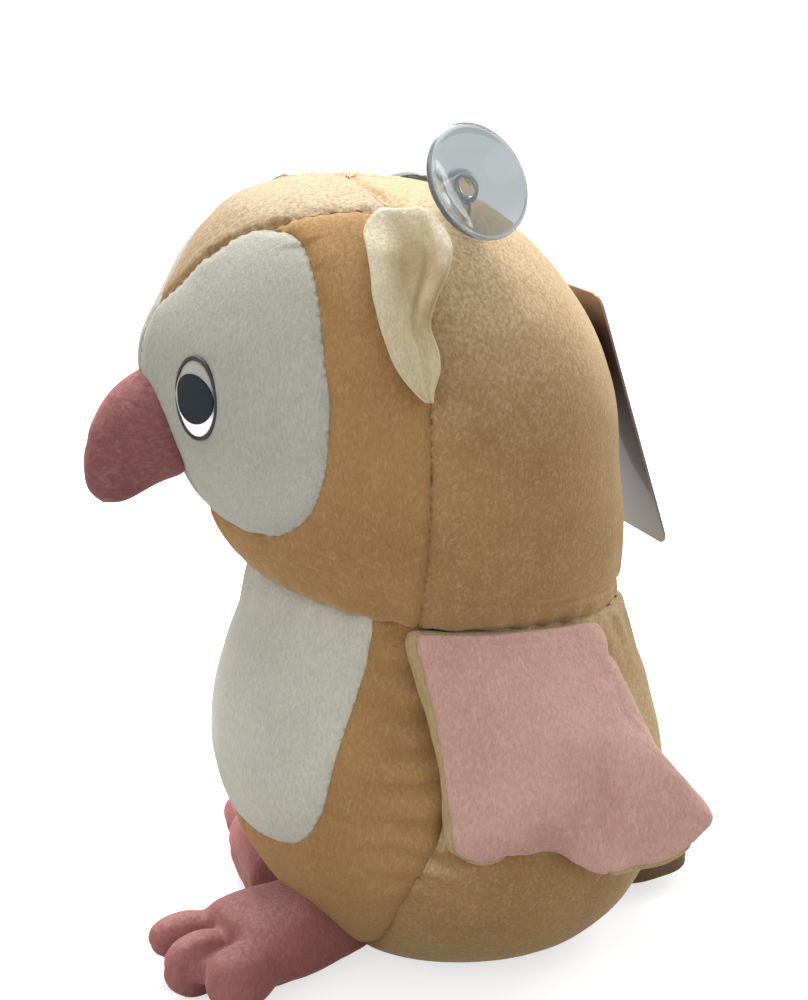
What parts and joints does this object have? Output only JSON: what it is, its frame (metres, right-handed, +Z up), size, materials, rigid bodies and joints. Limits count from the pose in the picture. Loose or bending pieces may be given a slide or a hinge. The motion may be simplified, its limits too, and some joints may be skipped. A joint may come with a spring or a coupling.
{
  "type": "plush owl",
  "caption": "Seated plush owl with a stuffed head and body, padded wings, soft feet, a hooked beak, suction cups on cord loops and a hang tag.",
  "frame": {"origin": "centre of the flat base panel that the owl sits on", "axes": "+Z up, -Y the way the owl faces, +X its left side"},
  "size_m": [0.1588, 0.2102, 0.2673],
  "materials": {
    "tan_plush": "short pile",
    "cream_plush": "short pile",
    "white_plush": "short pile",
    "pink_plush": "short pile",
    "rose_plush": "short pile",
    "filling": "matte",
    "eye_dome": "gloss",
    "eye_black": "gloss",
    "white_plastic": "satin",
    "clear_pvc": "gloss",
    "cord": "satin",
    "card": "satin"
  },
  "bodies": {
    "plush": {"head_crown": "tan_plush", "face_left": "white_plush", "cheek_left": "tan_plush", "head_back_left": "tan_plush", "eye_lens_left": "eye_dome", "eye_backing_left": "eye_black", "eye_washer_left": "white_plastic", "face_right": "white_plush", "cheek_right": "tan_plush", "head_back_right": "tan_plush", "eye_lens_right": "eye_dome", "eye_backing_right": "eye_black", "eye_washer_right": "white_plastic", "head_stuffing": "filling", "beak_skin": "rose_plush", "beak_stuffing": "filling", "belly": "white_plush", "body_base": "tan_plush", "body_stuffing": "filling", "body_side_left": "tan_plush", "body_back_left": "tan_plush", "body_side_right": "tan_plush", "body_back_right": "tan_plush"},
    "wing_left": {"wing_outer_left": "pink_plush", "wing_lining_left": "tan_plush", "wing_wadding_left": "filling"},
    "ear_left": {"ear_front_left": "cream_plush", "ear_back_left": "cream_plush"},
    "foot_left": {"foot_skin_left": "rose_plush", "foot_stuffing_left": "filling"},
    "cup_left": {"suction_cup_left": "clear_pvc", "cup_loop_left": "cord"},
    "wing_right": {"wing_outer_right": "pink_plush", "wing_lining_right": "tan_plush", "wing_wadding_right": "filling"},
    "ear_right": {"ear_front_right": "cream_plush", "ear_back_right": "cream_plush"},
    "foot_right": {"foot_skin_right": "rose_plush", "foot_stuffing_right": "filling"},
    "cup_right": {"suction_cup_right": "clear_pvc", "cup_loop_right": "cord"},
    "tail": {"tail_skin": "tan_plush", "tail_stuffing": "filling"},
    "tag": {"hang_tag": "card", "tag_tack": "white_plastic"}
  },
  "joints": [
    {"name": "wing_flap_left", "type": "hinge", "parent": "plush", "child": "wing_left", "pos_m": [0.05915, -0.009, 0.11332], "axis": [0.1233, -0.9834, 0.133], "range_deg": [0, 40]},
    {"name": "wing_flap_right", "type": "hinge", "parent": "plush", "child": "wing_right", "pos_m": [-0.05915, -0.009, 0.11332], "axis": [0.1233, 0.9834, -0.133], "range_deg": [0, 40]},
    {"name": "ear_flop_left", "type": "hinge", "parent": "plush", "child": "ear_left", "pos_m": [0.06618, -0.05094, 0.21752], "axis": [0.5293, 0.0561, -0.8466], "range_deg": [0, 20]},
    {"name": "ear_flop_right", "type": "hinge", "parent": "plush", "child": "ear_right", "pos_m": [-0.06618, -0.05094, 0.21752], "axis": [0.5293, -0.0561, 0.8466], "range_deg": [0, 20]},
    {"name": "foot_lift_left", "type": "hinge", "parent": "plush", "child": "foot_left", "pos_m": [0.01879, -0.06219, 0.0255], "axis": [-0.9613, -0.2756, 0], "range_deg": [0, 35]},
    {"name": "foot_lift_right", "type": "hinge", "parent": "plush", "child": "foot_right", "pos_m": [-0.02928, -0.05256, 0.0255], "axis": [-0.8607, 0.509, 0], "range_deg": [0, 35]},
    {"name": "tail_lift", "type": "hinge", "parent": "plush", "child": "tail", "pos_m": [0, 0.05749, 0.0175], "axis": [1, 0, 0], "range_deg": [0, 25]},
    {"name": "cup_swivel_left", "type": "hinge", "parent": "plush", "child": "cup_left", "pos_m": [0.0415, -0.01699, 0.2383], "axis": [0.4951, 0.3218, 0.8071], "range_deg": [0, 50]},
    {"name": "cup_lift_right", "type": "hinge", "parent": "plush", "child": "cup_right", "pos_m": [-0.0359, -0.0187, 0.24176], "axis": [0.9296, 0.0671, 0.3624], "range_deg": [0, 60]},
    {"name": "tag_swing", "type": "hinge", "parent": "plush", "child": "tag", "pos_m": [0, 0.0369, 0.204], "axis": [1, 0, 0], "range_deg": [0, 35]}
  ]
}
